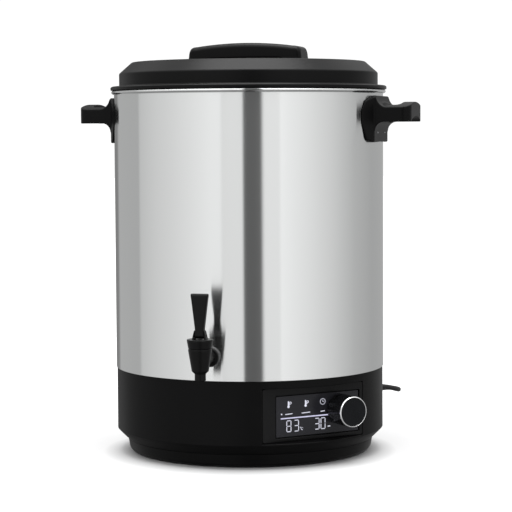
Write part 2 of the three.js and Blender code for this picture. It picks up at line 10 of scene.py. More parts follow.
import bmesh
import bpy
from mathutils import Matrix, Vector


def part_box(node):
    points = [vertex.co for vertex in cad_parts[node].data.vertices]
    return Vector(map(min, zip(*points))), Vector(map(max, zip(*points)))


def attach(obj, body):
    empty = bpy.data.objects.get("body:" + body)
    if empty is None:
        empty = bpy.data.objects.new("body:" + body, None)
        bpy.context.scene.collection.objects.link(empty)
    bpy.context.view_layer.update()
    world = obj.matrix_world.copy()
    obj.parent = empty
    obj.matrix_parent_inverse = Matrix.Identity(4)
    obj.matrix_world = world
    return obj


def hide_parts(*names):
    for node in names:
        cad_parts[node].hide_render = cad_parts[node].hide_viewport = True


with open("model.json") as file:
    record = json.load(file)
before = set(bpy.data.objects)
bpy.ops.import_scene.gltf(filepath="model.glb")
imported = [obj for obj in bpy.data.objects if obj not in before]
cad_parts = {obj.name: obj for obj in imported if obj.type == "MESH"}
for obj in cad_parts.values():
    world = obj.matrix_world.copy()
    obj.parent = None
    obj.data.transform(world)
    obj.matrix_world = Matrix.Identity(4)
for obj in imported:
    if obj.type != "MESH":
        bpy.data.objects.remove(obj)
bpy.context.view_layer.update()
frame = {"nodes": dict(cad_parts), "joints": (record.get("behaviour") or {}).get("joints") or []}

MM = 0.001
ROUND = 224  # sides of the large round pieces
FINE = 64  # sides of the small round pieces


# ------------------------ places from the frame
def box_mm(node):
    low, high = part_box(node)
    return low / MM, high / MM


def joint_mm(name):
    joint = next(j for j in frame["joints"] if j["name"] == name)
    return Vector(joint["pos_m"]) / MM


VESSEL_LOW = box_mm("vessel")[0]
HOUSING_LOW, HOUSING_HIGH = box_mm("base_housing")
LID_HIGH = box_mm("lid_shell")[1]
BAR_LOW, BAR_HIGH = box_mm("lid_handle")
KNOB_AXIS = joint_mm("knob_turn")
LEVER_PIN = joint_mm("tap_lever_tilt")

WALL_R = 180.0  # outside radius of the steel wall
WALL_T = 1.2
BASE_R = HOUSING_HIGH.x
BASE_LOW, BASE_TOP = HOUSING_LOW.z, HOUSING_HIGH.z

PANEL_AZIMUTH = radians(-45)  # the direction that the panel faces, from +X
PANEL_OUT = Vector((cos(PANEL_AZIMUTH), sin(PANEL_AZIMUTH), 0))
PANEL_RIGHT = Vector((-sin(PANEL_AZIMUTH), cos(PANEL_AZIMUTH), 0))
PANEL_D = 161.0  # distance of the panel's face from the pot's axis
TAP_Y = LEVER_PIN.y
CORD_OUT = (cos(radians(60)), sin(radians(60)), 0)  # the lead's way out

SCREW_HOLE_R, PIN_HOLE_R = 2.3, 1.8
SHANK_HOLE_R, CORD_HOLE_R = 8.3, 8.3
LID_SCREW_X = 68
BOLT_RING, FOOT_RING = 150, 140  # radii of the circles of base screws and of feet


def polar(radius, angle, x=0.0, y=0.0):
    """The point at a radius and an angle from (x, y)."""
    return x + radius * cos(angle), y + radius * sin(angle)


def placed(name, data):
    made = bpy.data.objects.new(name, data)
    bpy.context.scene.collection.objects.link(made)
    return made


# ------------------------ camera, light and floor
CAMERA_AZIMUTH = radians(16)
CAMERA_DISTANCE = 2.507
CAMERA_HEIGHT = 0.4311
CAMERA_LENS = 130.98
CAMERA_TURN = radians(-0.202)
CAMERA_PITCH = radians(3.916)
CAMERA_ROLL = radians(-0.314)

# The studio's walls as the polished steel sees them, going round from behind the camera:
# degrees from the camera's direction, and brightness. Between the two entries of a step the wall
# changes at once: the dark stretch is the gap between the two large softboxes.
STUDIO_WALL = [
    (-180, 0.22),
    (-153, 0.23),
    (-147, 0.45),
    (-107.4, 0.45),
    (-105.4, 0.60),
    (-58, 0.80),
    (-32, 0.92),
    (-22.7, 0.91),
    (-22.2, 0.60),
    (-21.8, 0.60),
    (-21.4, 0.80),
    (-4.6, 0.83),
    (-4.2, 0.112),
    (11.0, 0.112),
    (11.4, 0.84),
    (25.4, 0.84),
    (26.2, 0.96),
    (48, 0.86),
    (73, 0.70),
    (100, 0.505),
    (128, 0.415),
    (180, 0.42),
]
CEILING = 3.0  # brightness of the studio's ceiling against that of its walls
GROUND = 0.35  # brightness far below the horizon against that of the walls
BACKDROP = 1.05  # brightness of the white behind the object


def make_camera():
    data = bpy.data.cameras.new("camera")
    data.lens = CAMERA_LENS
    data.sensor_width = 36
    data.clip_end = 50
    camera = placed("camera", data)
    back = Vector((sin(CAMERA_AZIMUTH), -cos(CAMERA_AZIMUTH), 0))
    place = Matrix.Translation(back * CAMERA_DISTANCE + Vector((0, 0, CAMERA_HEIGHT)))
    heading = Matrix.Rotation(CAMERA_AZIMUTH + CAMERA_TURN, 4, "Z")
    pitch = Matrix.Rotation(pi / 2 - CAMERA_PITCH, 4, "X")
    camera.matrix_world = place @ heading @ pitch @ Matrix.Rotation(CAMERA_ROLL, 4, "Z")
    bpy.context.scene.camera = camera


def make_world():
    """The studio: walls that differ all round, less light from below and a bright ceiling."""
    world = bpy.data.worlds.new("studio")
    bpy.context.scene.world = world
    world.use_nodes = True
    tree = world.node_tree
    nodes, links = tree.nodes, tree.links
    nodes.clear()
    coordinates = nodes.new("ShaderNodeTexCoord")
    turn = nodes.new("ShaderNodeVectorRotate")
    turn.rotation_type = "Z_AXIS"
    turn.inputs["Angle"].default_value = pi / 2 - CAMERA_AZIMUTH
    split = nodes.new("ShaderNodeSeparateXYZ")
    bearing = nodes.new("ShaderNodeMath")
    bearing.operation = "ARCTAN2"
    wall = nodes.new("ShaderNodeValToRGB")
    ramp = wall.color_ramp
    for _ in range(len(STUDIO_WALL) - 2):
        ramp.elements.new(0.5)
    for element, (angle, level) in zip(ramp.elements, STUDIO_WALL, strict=True):
        element.position = (angle + 180) / 360
        element.color = (level, level, level, 1)
    dim = nodes.new("ShaderNodeMath")
    dim.operation = "MULTIPLY"
    path = nodes.new("ShaderNodeLightPath")
    seen = nodes.new("ShaderNodeBackground")
    seen.inputs["Color"].default_value = (1, 1, 1, 1)
    seen.inputs["Strength"].default_value = BACKDROP
    lit = nodes.new("ShaderNodeBackground")
    mix = nodes.new("ShaderNodeMixShader")
    out = nodes.new("ShaderNodeOutputWorld")
    links.new(coordinates.outputs["Generated"], turn.inputs["Vector"])
    links.new(turn.outputs["Vector"], split.inputs["Vector"])
    links.new(split.outputs["Y"], bearing.inputs[0])
    links.new(split.outputs["X"], bearing.inputs[1])
    links.new(ranged(tree, bearing.outputs[0], 0, 1, -pi, pi), wall.inputs["Fac"])
    links.new(wall.outputs["Color"], dim.inputs[0])
    links.new(ranged(tree, split.outputs["Z"], GROUND, 1, -0.75, -0.2), dim.inputs[1])
    links.new(dim.outputs[0], lit.inputs["Color"])
    links.new(ranged(tree, split.outputs["Z"], 1, CEILING, 0.3, 0.65), lit.inputs["Strength"])
    links.new(path.outputs["Is Camera Ray"], mix.inputs["Fac"])
    links.new(lit.outputs["Background"], mix.inputs[1])
    links.new(seen.outputs["Background"], mix.inputs[2])
    links.new(mix.outputs["Shader"], out.inputs["Surface"])


def area_light(name, place, target, size, strength):
    data = bpy.data.lights.new(name, "AREA")
    data.shape = "RECTANGLE"
    data.size, data.size_y = size
    data.energy = strength
    light = placed(name, data)
    light.location = place
    light.rotation_mode = "QUATERNION"
    light.rotation_quaternion = (Vector(target) - Vector(place)).to_track_quat("-Z", "Y")


def painted_floor_shadow_glow(tree, shader):
    """The sweep glows, little at the object and more away from it, so that it ends in white: a painted
    contact shadow round the base, darker in front.
    """
    coordinates = tree.nodes.new("ShaderNodeTexCoord")
    # The painted shadow's centre lies a little in front of the axis, so the shadow reaches further in front
    # of the base.
    shadow_centre = tree.nodes.new("ShaderNodeMapping")
    shadow_centre.inputs["Location"].default_value = (-0.004, 0.015, 0)
    length = tree.nodes.new("ShaderNodeVectorMath")
    length.operation = "LENGTH"
    tree.links.new(coordinates.outputs["Object"], shadow_centre.inputs["Vector"])
    tree.links.new(shadow_centre.outputs["Vector"], length.inputs[0])
    # Painted shade: the glow rises from nothing at the base to full strength at the edge of the contact
    # shadow.
    shadow_edge_glow = ranged(tree, length.outputs["Value"], 0.0, 0.52, 0.155, 0.197)
    far = ranged(tree, length.outputs["Value"], 0.0, 0.4, 0.25, 1.2)
    glow = tree.nodes.new("ShaderNodeMath")
    glow.operation = "ADD"
    tree.links.new(shadow_edge_glow, glow.inputs[0])
    tree.links.new(far, glow.inputs[1])
    shader.inputs["Emission Color"].default_value = (1, 1, 1, 1)
    tree.links.new(glow.outputs[0], shader.inputs["Emission Strength"])


def make_stage():
    view = bpy.context.scene.view_settings
    view.view_transform = "Standard"
    area_light("overhead_softbox", (0.02, -0.12, 2.6), (0.0, 0.0, 0.4), (1.7, 1.7), 55)
    mesh = bpy.data.meshes.new("floor")
    bm = bmesh.new()
    bmesh.ops.create_circle(bm, cap_ends=True, radius=14, segments=96)
    bm.to_mesh(mesh)
    bm.free()
    look = bpy.data.materials.new("floor")
    look.use_nodes = True
    shader = look.node_tree.nodes["Principled BSDF"]
    shader.inputs["Base Color"].default_value = (0.34, 0.34, 0.342, 1)
    shader.inputs["Roughness"].default_value = 0.9
    shader.inputs["Specular IOR Level"].default_value = 0.0
    # The floor's glow paints its contact shadow.
    painted_floor_shadow_glow(look.node_tree, shader)
    mesh.materials.append(look)
    floor = placed("floor", mesh)
    floor.visible_glossy = False


# ------------------------ materials
def node_chain(tree, scale, detail, stretch=(1, 1, 1)):
    """Noise in the object's own coordinates."""
    nodes, links = tree.nodes, tree.links
    coordinates = nodes.new("ShaderNodeTexCoord")
    mapping = nodes.new("ShaderNodeMapping")
    mapping.inputs["Scale"].default_value = stretch
    noise = nodes.new("ShaderNodeTexNoise")
    noise.inputs["Scale"].default_value = scale
    noise.inputs["Detail"].default_value = detail
    links.new(coordinates.outputs["Object"], mapping.inputs["Vector"])
    links.new(mapping.outputs["Vector"], noise.inputs["Vector"])
    return noise


def ranged(tree, source, low, high, start=0.3, stop=0.7):
    """The source's values between start and stop spread from low to high."""
    reach = tree.nodes.new("ShaderNodeMapRange")
    reach.inputs["From Min"].default_value = start
    reach.inputs["From Max"].default_value = stop
    reach.inputs["To Min"].default_value = low
    reach.inputs["To Max"].default_value = high
    tree.links.new(source, reach.inputs["Value"])
    return reach.outputs["Result"]


def drift(tree, factor, dark, light, socket):
    """Feeds a colour socket with a mix of two colours that follows a noise."""
    shade = tree.nodes.new("ShaderNodeMix")
    shade.data_type = "RGBA"
    shade.inputs["A"].default_value = (*dark, 1)
    shade.inputs["B"].default_value = (*light, 1)
    tree.links.new(ranged(tree, factor, 0, 1), shade.inputs["Factor"])
    tree.links.new(shade.outputs["Result"], socket)


def material(name, colour, roughness, shift=0.06, metallic=0.0, specular=0.5, tint=0.12,
             patches=9, grain=(900, 0.02), stretch=(1, 1, 1), coat=0.0, transmission=0.0,
             brushed=0.0):
    """A principled material whose colour and roughness drift in patches, with a fine surface grain."""
    look = bpy.data.materials.new(name)
    look.use_nodes = True
    tree = look.node_tree
    shader = tree.nodes["Principled BSDF"]
    shader.inputs["Metallic"].default_value = metallic
    shader.inputs["Specular IOR Level"].default_value = specular
    shader.inputs["Coat Weight"].default_value = coat
    shader.inputs["Coat Roughness"].default_value = 0.08
    shader.inputs["Transmission Weight"].default_value = transmission
    if brushed:
        around = tree.nodes.new("ShaderNodeTangent")
        around.direction_type = "RADIAL"
        around.axis = "Z"
        shader.inputs["Anisotropic"].default_value = brushed
        shader.inputs["Anisotropic Rotation"].default_value = 0.25
        tree.links.new(around.outputs["Tangent"], shader.inputs["Tangent"])
    broad = node_chain(tree, patches, 4, stretch)
    tree.links.new(
        ranged(tree, broad.outputs["Fac"], roughness - shift, roughness + shift),
        shader.inputs["Roughness"],
    )
    dark = [c * (1 - tint) for c in colour]
    light = [min(1.0, c * (1 + tint)) for c in colour]
    drift(tree, broad.outputs["Fac"], dark, light, shader.inputs["Base Color"])
    scale, height = grain
    if height:
        fine = node_chain(tree, scale, 3, stretch)
        bump = tree.nodes.new("ShaderNodeBump")
        bump.inputs["Strength"].default_value = height
        bump.inputs["Distance"].default_value = 0.001
        tree.links.new(fine.outputs["Fac"], bump.inputs["Height"])
        tree.links.new(bump.outputs["Normal"], shader.inputs["Normal"])
    return look


def glowing(name, colour, strength):
    look = bpy.data.materials.new(name)
    look.use_nodes = True
    tree = look.node_tree
    shader = tree.nodes["Principled BSDF"]
    shader.inputs["Base Color"].default_value = (0.02, 0.02, 0.02, 1)
    shader.inputs["Emission Strength"].default_value = strength
    noise = node_chain(tree, 160, 2)
    dark = [c * 0.8 for c in colour]
    drift(tree, noise.outputs["Fac"], dark, colour, shader.inputs["Emission Color"])
    return look


STEEL = material("polished_steel", (0.832, 0.843, 0.84), 0.15, shift=0.012, metallic=1, tint=0.012,
                 patches=16, grain=(0, 0), stretch=(1, 1, 0.03), brushed=1.0)
INNER_STEEL = material("satin_steel", (0.74, 0.74, 0.73), 0.24, shift=0.05, metallic=1, tint=0.03,
                       patches=24, grain=(700, 0.05), stretch=(1, 1, 0.2))
BLACK = material("black_plastic", (0.0022, 0.0022, 0.0023), 0.36, shift=0.04, specular=0.085,
                 tint=0.2, patches=7, grain=(1500, 0.035))
LID_BLACK = material("lid_plastic", (0.0014, 0.0014, 0.0015), 0.34, shift=0.03, specular=0.13,
                     tint=0.2, patches=7, grain=(1500, 0.05))
TAP_BLACK = material("tap_plastic", (0.0016, 0.0016, 0.0017), 0.33, shift=0.05, specular=0.16,
                     tint=0.2, patches=30, grain=(1800, 0.04))
PANEL_BLACK = material("panel_plastic", (0.0040, 0.0040, 0.0043), 0.34, shift=0.03, specular=0.15,
                       tint=0.15, patches=14, grain=(2200, 0.03))
GLASS = material("smoked_glass", (0.0148, 0.0148, 0.018), 0.16, shift=0.03, specular=0.2, tint=0.06,
                 patches=25, grain=(600, 0.003))
KNOB_SIDE = material("knob_plastic", (0.004, 0.004, 0.0045), 0.25, shift=0.04, specular=0.25,
                     tint=0.15, patches=40, grain=(2600, 0.03))
KNOB_FACE = material("knob_face", (0.0035, 0.004, 0.005), 0.3, shift=0.05, specular=0.12, tint=0.2,
                     patches=60, grain=(1200, 0.05))
CHROME = material("bright_chrome", (0.86, 0.86, 0.87), 0.07, shift=0.02, metallic=1, tint=0.02,
                  patches=60, grain=(500, 0.01))
ZINC = material("zinc_plate", (0.55, 0.56, 0.57), 0.34, shift=0.08, metallic=1, tint=0.1,
                patches=80, grain=(1200, 0.08))
ALUMINIUM = material("plain_aluminium", (0.68, 0.69, 0.70), 0.42, shift=0.08, metallic=1, tint=0.06,
                     patches=40, grain=(900, 0.1))
RUBBER = material("black_rubber", (0.012, 0.012, 0.012), 0.72, shift=0.06, specular=0.25, tint=0.25,
                  patches=60, grain=(1400, 0.12))
SILICONE = material("silicone_seal", (0.50, 0.47, 0.42), 0.5, shift=0.08, tint=0.06, patches=60,
                    grain=(900, 0.05))
DARK_SEAL = material("tap_seal", (0.055, 0.055, 0.056), 0.42, shift=0.06, tint=0.15, patches=60,
                     grain=(1200, 0.06))
BOARD = material("circuit_board", (0.02, 0.12, 0.05), 0.32, shift=0.08, tint=0.3, patches=120,
                 grain=(900, 0.1))
WHITE = material("white_plastic", (0.72, 0.70, 0.64), 0.45, shift=0.06, tint=0.05, patches=50,
                 grain=(1500, 0.04))
CORD_PVC = material("cord_pvc", (0.008, 0.008, 0.008), 0.45, shift=0.07, specular=0.3, tint=0.25,
                    patches=50, grain=(1300, 0.09))
GLOW = glowing("display_light", (0.86, 0.87, 1.0), 0.95)
GLOW_LINE = glowing("display_line_light", (0.74, 0.73, 0.98), 0.95)

CAD_LOOKS = {
    ZINC: ["tap_stem", "encoder_body", "heat_shield", "shield_spacer_1", "shield_spacer_2",
           "shield_spacer_3", "temperature_sensor"],
    SILICONE: ["tap_washer_inner", "tap_seat_cup"],
    WHITE: ["display_module", "encoder_rotor", "thermal_cutout", "thermal_fuse", "terminal_block"],
    BOARD: ["control_pcb", "power_board"],
    ALUMINIUM: ["encoder_shaft", "heat_plate"],
    INNER_STEEL: ["heating_element"],
}


def dress_cad_nodes():
    for look, names in CAD_LOOKS.items():
        for name in names:
            materials = frame["nodes"][name].data.materials
            materials.clear()
            materials.append(look)


# ------------------------ mesh building
def rounded(points, closed=False, step=12):
    """The (x, y) outline of corners given as (x, y) or (x, y, fillet radius)."""
    outline, count = [], len(points)
    for i, corner in enumerate(points):
        radius = corner[2] if len(corner) > 2 else 0
        here = Vector(corner[:2])
        if not radius or (not closed and i in (0, count - 1)):
            outline.append(tuple(here))
            continue
        before = Vector(points[i - 1][:2]) - here
        after = Vector(points[(i + 1) % count][:2]) - here
        half = before.angle(after) / 2
        reach = min(radius / tan(half), 0.49 * before.length, 0.49 * after.length)
        radius = reach * tan(half)
        middle = (before.normalized() + after.normalized()).normalized()
        centre = here + middle * radius / sin(half)
        first = here + before.normalized() * reach - centre
        last = here + after.normalized() * reach - centre
        start = atan2(first.y, first.x)
        sweep = (atan2(last.y, last.x) - start + pi) % (2 * pi) - pi
        steps = max(2, ceil(abs(sweep) / radians(step)))
        for k in range(steps + 1):
            angle = start + sweep * k / steps
            outline.append(polar(radius, angle, *centre))
    return outline


def to_mesh(bm):
    bmesh.ops.remove_doubles(bm, verts=bm.verts, dist=1e-7)
    bmesh.ops.recalc_face_normals(bm, faces=bm.faces)
    mesh = bpy.data.meshes.new("shape")
    bm.to_mesh(mesh)
    bm.free()
    return mesh


def loft(loops, wrap=False):
    """A closed mesh through loops of equally many points in millimetres; the ends are capped, or joined."""
    bm = bmesh.new()
    rows = [[bm.verts.new(Vector(p) * MM) for p in loop] for loop in loops]
    count = len(rows[0])
    pairs = list(zip(rows, rows[1:], strict=False)) + ([(rows[-1], rows[0])] if wrap else [])
    for low, high in pairs:
        for i in range(count):
            j = (i + 1) % count
            bm.faces.new((low[i], low[j], high[j], high[i]))
    if not wrap:
        bm.faces.new(rows[0])
        bm.faces.new(rows[-1])
    return to_mesh(bm)


def circle(radius, z, sides):
    step = 2 * pi / sides
    return [(*polar(radius, i * step), z) for i in range(sides)]


def revolve(profile, sides=ROUND, ring=False):
    """Solid of revolution about Z from (radius, z) points; ring joins the profile's ends."""
    return loft([circle(max(r, 0.02), z, sides) for r, z in profile], wrap=ring)


def moved(mesh, matrix):
    scaled = matrix.copy()
    scaled.translation = matrix.translation * MM
    mesh.transform(scaled)
    return mesh


def at(x, y, z):
    return Matrix.Translation((x, y, z))


def ring_places(count, radius, z=0.0, share=0.0):
    """Places at equal angles round the Z axis, the first a share of the pitch past +X."""
    angles = [2 * pi * (i + share) / count for i in range(count)]
    return [at(*polar(radius, angle), z) for angle in angles]


def outwards(direction):
    """Turns the Z axis to a level direction, so that a profile's z becomes the distance along it."""
    out = Vector(direction).normalized()
    side = Vector((0, 0, 1)).cross(out)
    return Matrix((side, out.cross(side), out)).transposed().to_4x4()


# Panel coordinates: x to the right, y up and z out of the panel, from the pot's axis at z = 0.
PANEL_FRAME = Matrix((PANEL_RIGHT, (0, 0, 1), PANEL_OUT)).transposed().to_4x4()


def evaluated(mesh, modifiers):
    """The mesh after modifiers, given as (type, settings)."""
    maker = placed("maker", mesh)
    for kind, settings in modifiers:
        modifier = maker.modifiers.new(kind, kind)
        for key, value in settings.items():
            setattr(modifier, key, value)
    made = bpy.data.meshes.new_from_object(
        maker.evaluated_get(bpy.context.evaluated_depsgraph_get())
    )
    bpy.data.objects.remove(maker)
    return made


def combined(mesh, tools, operation):
    for tool in tools:
        helper = placed("helper", tool)
        settings = {"operation": operation, "object": helper, "solver": "EXACT"}
        mesh = evaluated(mesh, [("BOOLEAN", settings)])
        bpy.data.objects.remove(helper)
    return mesh


def cut(mesh, *tools):
    return combined(mesh, tools, "DIFFERENCE")


def piece(name, mesh, body, look, replaces=(), sharp=38):
    mesh.name = name
    mesh.materials.clear()
    mesh.materials.append(look)
    mesh.shade_smooth()
    mesh.set_sharp_from_angle(angle=radians(sharp))
    mesh = evaluated(mesh, [("WEIGHTED_NORMAL", {"keep_sharp": True})])
    mesh.name = name
    made = placed(name, mesh)
    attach(made, body)
    if replaces:
        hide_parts(*replaces)
    return made


def rectangle(x0, x1, y0, y1, radius, z, corner=8):
    """A loop of a rectangle with round corners, with the same number of points for every radius."""
    radius = max(radius, 0.05)
    loop = []
    centres = [(x1 - radius, y1 - radius), (x0 + radius, y1 - radius),
               (x0 + radius, y0 + radius), (x1 - radius, y0 + radius)]
    for k, (x, y) in enumerate(centres):
        for i in range(corner + 1):
            angle = pi / 2 * (k + i / corner)
            loop.append((*polar(radius, angle, x, y), z))
    return loop


# ------------------------ pot and false bottom
NECK_R = 175.6  # the pot's lower band, which sits inside the base
STEP_Z = 113.0
RIM = (181.1, 479.6, 2.4)  # centre and radius of the rolled rim's section
HANDLE_SCREW_Y, HANDLE_SCREW_Z = 22, 425
TAP_Z = 144.4  # axis of the tap's shank


def drill(radius, start, end, matrix, sides=32):
    outline = [(0, start), (radius, start), (radius, end), (0, end)]
    return moved(revolve(outline, sides), matrix)


def joined(meshes):
    bm = bmesh.new()
    for mesh in meshes:
        bm.from_mesh(mesh)
    return to_mesh(bm)


def make_pot():
    inner, low = WALL_R - WALL_T, VESSEL_LOW.z
    outside = rounded([(0, low), (NECK_R, low, 3.4), (NECK_R, STEP_Z, 0.3), (WALL_R, STEP_Z, 0.7),
                       (WALL_R, RIM[1] - 3.2, 2), (WALL_R + 0.4, RIM[1] - 2.4)])
    bead = []
    for i in range(17):
        angle = radians(-100 + 15.5 * i)
        bead.append(polar(RIM[2], angle, RIM[0], RIM[1]))
    inside = rounded([(inner, RIM[1]), (inner, STEP_Z + WALL_T, 0.6),
                      (NECK_R - WALL_T, STEP_Z + WALL_T, 0.4), (NECK_R - WALL_T, low + WALL_T, 3),
                      (0, low + WALL_T)])
    mesh = revolve(outside + bead + inside)
    holes = [drill(SHANK_HOLE_R, 165, 190, at(0, 0, TAP_Z) @ outwards((0, -1, 0)))]
    for side in (-1, 1):
        for y in (-HANDLE_SCREW_Y, HANDLE_SCREW_Y):
            turn = at(0, y, HANDLE_SCREW_Z) @ outwards((side, 0, 0))
            holes.append(drill(SCREW_HOLE_R, 170, 190, turn))
    mesh = cut(mesh, joined(holes))
    piece("pot", mesh, "kettle", STEEL, ["vessel"])


def make_false_bottom():
    low = box_mm("false_bottom")[0].z
    plate = rounded([(0, low), (177.6, low, 0.6), (177.6, low + 1.5, 0.6), (0, low + 1.5)])
    rows = [(60, 6, 6), (104, 10, 6), (148, 14, 6), (36, 8, 2.2), (82, 18, 2.2), (126, 26, 2.2),
            (167, 36, 2.2)]
    holes = []
    for radius, count, size in rows:
        holes += [drill(size, low - 4, low + 5, place, 24) for place in ring_places(count, radius)]
    mesh = cut(revolve(plate, 128), joined(holes))
    knob = rounded([(0, low + 1.4), (8, low + 1.5, 2), (5, low + 4, 2), (5, low + 13, 4),
                    (12, low + 18, 3), (12, low + 24, 3), (0, low + 24)])
    piece("false_bottom_plate", mesh, "kettle", INNER_STEEL, ["false_bottom"])
    piece("false_bottom_grip", revolve(knob, FINE), "kettle", INNER_STEEL)


# ------------------------ fasteners
def cross_screw(name, node, body, matrix, length):
    """A pan head screw with a cross recess, its head at the bottom of its axis, its shank up Z."""
    outline = rounded([(0, 0), (4, 0, 1.6), (4, 2.8, 0.3), (1.9, 2.8), (1.9, length - 1.6),
                       (0.4, length), (0, length)])
    arms = [
        loft([rectangle(-a, a, -b, b, 0.1, z, 2) for z in (-1, 1.5)])
        for a, b in ((2.1, 0.5), (0.5, 2.1))
    ]
    mesh = moved(cut(revolve(outline, 40), *arms), matrix)
    piece(name, mesh, body, ZINC, [node])


def make_screws():
    for name, side in (("left", -1), ("right", 1)):
        for mark, y in (("a", -HANDLE_SCREW_Y), ("b", HANDLE_SCREW_Y)):
            place = at(side * 173.4, side * y, HANDLE_SCREW_Z) @ outwards((side, 0, 0))
            node = f"handle_screw_{name}_{mark}"
            cross_screw(f"handle_bolt_{name}_{mark}", node, "kettle", place, 9)
        place = at(side * LID_SCREW_X, 0, 514)
        cross_screw(f"lid_bolt_{name}", f"lid_screw_{name}", "lid", place, 16.4)
    for i, place in enumerate(ring_places(4, BOLT_RING, 5.9), 1):
        cross_screw(f"base_bolt_{i}", f"base_screw_{i}", "kettle", place, 24.1)


# ------------------------ side handles
def prism(axis, outline, low, high):
    """A prism along X, Y or Z from an outline in the other two coordinates, in their order."""
    def spot(a, b, c):
        return {"x": (c, a, b), "y": (a, c, b), "z": (a, b, c)}[axis]
    return loft([[spot(a, b, c) for a, b in outline] for c in (low, high)])


def bow(y0, y1, ends, control, steps=24):
    """Points of a quadratic curve in (y, z) that rises towards its control height at y = 0."""
    points = []
    for i in range(steps + 1):
        t = i / steps
        points.append((y0 + (y1 - y0) * t, ends + 2 * t * (1 - t) * (control - ends)))
    return points


def hollow_curve(x, z, radius, start, end, steps=14):
    """Points of a concave quarter circle in (x, z)."""
    points = []
    for i in range(steps + 1):
        angle = radians(start + (end - start) * i / steps)
        points.append(polar(radius, angle, x, z))
    return points


def make_handles():
    low, high = box_mm("handle_right")
    half = [(44, low.z, 5), (54, 416, 5), (68.5, 447, 8), (56, 466, 6), (38, high.z, 6)]
    face = rounded(half + [(-y, z, r) for y, z, r in reversed(half)], True)
    plan = rounded([(160, -68.5), (166.6, -68.5), (181.5, -42, 9), (181.5, 42, 9), (166.6, 68.5),
                    (160, 68.5)], True)
    plate = prism("z", plan, low.z, high.z)
    above = [(172, 450), (199, 450), *hollow_curve(199, 473.6, 16, 270, 180), (172, high.z)]
    below = [(172, 445), (172, 427), *hollow_curve(194, 427, 12, 180, 90), (194, 445)]
    sweeps = [prism("y", outline, -42.5, 42.5) for outline in (above, below)]
    loop = prism("z", rounded([(165, -42.5), (high.x, -42.5, 13), (high.x, 42.5, 13), (165, 42.5)],
                              True, 6), 430, 470)
    arch = [(-45, 439), *bow(-31, 31, 439, 453), (45, 439), *bow(45, -45, 457, 473)]
    grip = combined(loop, [prism("x", arch, 160, 235)], "INTERSECT")
    solid = combined(plate, [*sweeps, grip], "UNION")
    solid = combined(solid, [prism("x", face, 150, 240)], "INTERSECT")
    slot = prism("z", rounded([(188, -31, 8), (212.5, -31, 8), (212.5, 31, 8), (188, 31, 8)],
                              True, 9), 415, 485)
    solid = cut(solid, slot)
    wall = revolve([(0, 400), (WALL_R + 0.3, 400), (WALL_R + 0.3, 490), (0, 490)])
    solid = cut(solid, wall)
    settings = [("REMESH", {"mode": "VOXEL", "voxel_size": 0.9 * MM}),
                ("SMOOTH", {"factor": 0.5, "iterations": 7})]
    solid = evaluated(solid, settings)
    for name, turn in (("right", 0), ("left", pi)):
        mesh = moved(solid.copy(), Matrix.Rotation(turn, 4, "Z"))
        piece(f"side_handle_{name}", mesh, "kettle", BLACK, [f"handle_{name}"], 60)


# ------------------------ lid
def make_lid():
    top = LID_HIGH.z
    outline = rounded([(0, top - 2.5), (154.9, top - 2.5, 2), (170.5, 503.4, 2), (170.5, 470.5, 1),
                       (173, 470.5, 1), (173, 482.4, 0.5), (184.6, 482.4, 1), (184.6, 486, 1),
                       (182.8, 487.4, 1.5), (173, 488, 1.2), (173, 504.5, 3.5), (156, top, 3),
                       (0, top)], step=9)
    shell = revolve(outline)
    tub = [rectangle(-51, 51, -44, 44, 14, 503), rectangle(-54, 54, -47, 47, 17, 506),
           rectangle(-54, 54, -47, 47, 17, top - 1.5)]
    well = [(-4, 506), (-1.2, 506.3), (0, 507.5), (0, top - 2), (0.3, top - 1), (1.2, top - 0.25),
            (2.6, top + 0.05), (6, top + 3)]
    cutter = [rectangle(-51 - g, 51 + g, -44 - g, 44 + g, 17 + g, z) for g, z in well]
    shell = combined(shell, [loft(tub)], "UNION")
    shell = cut(shell, loft(cutter))
    holes = [
        drill(SCREW_HOLE_R, 505, 530, at(x, 0, 0), 24) for x in (-LID_SCREW_X, LID_SCREW_X)
    ]
    shell = cut(shell, joined(holes))
    piece("lid", shell, "lid", LID_BLACK, ["lid_shell"], 30)


def make_lid_handle():
    """The bar over the finger well, as sections across X from one end to the other."""
    low, half = BAR_LOW.z, BAR_HIGH.x
    stations = [78.5, 78.35, 77.8, 77, 76, 74.5, 72.5, 70, 66, 62, 59.5, 58.2]
    arch = []
    for i in range(11):
        t = i / 10
        x = 58 * (1 - t) ** 2 + 2 * 55.5 * t * (1 - t) + 46 * t * t
        z = low * (1 - t) ** 2 + 2 * 523.6 * t * (1 - t) + 524 * t * t
        arch.append((x, z))
    arch += [(x, 524.6 - 0.6 * (x / 46) ** 2) for x in (38, 30, 20, 10, 0)]
    ways = [(x, low) for x in stations] + arch
    ways += [(-x, z) for x, z in reversed(ways[:-1])]
    loops = []
    for x, bottom in ways:
        reach = abs(x)
        if reach > 68.5:
            top = 534 + 6.2 * sqrt(max(0.0, 1 - ((reach - 68.5) / 10) ** 2))
        else:
            top = BAR_HIGH.z - 4.8 * (reach / 68.5) ** 2
        width = 23.0
        if reach > half - 6:
            width = 17 + sqrt(max(0.0, 36 - (reach - half + 6) ** 2))
        lean = 0.105 * max(0.0, (reach - 58) / 20.5)
        loops.append([
            (copysign(reach - lean * (z - low), x), y, z)
            for y, z in bar_section(width, bottom, top)
        ])
    mesh = loft(loops)
    pilots = [
        drill(SCREW_HOLE_R, 515, 531, at(x, 0, 0), 24) for x in (-LID_SCREW_X, LID_SCREW_X)
    ]
    mesh = cut(mesh, joined(pilots))
    piece("lid_grip", mesh, "lid", LID_BLACK, ["lid_handle"], 42)


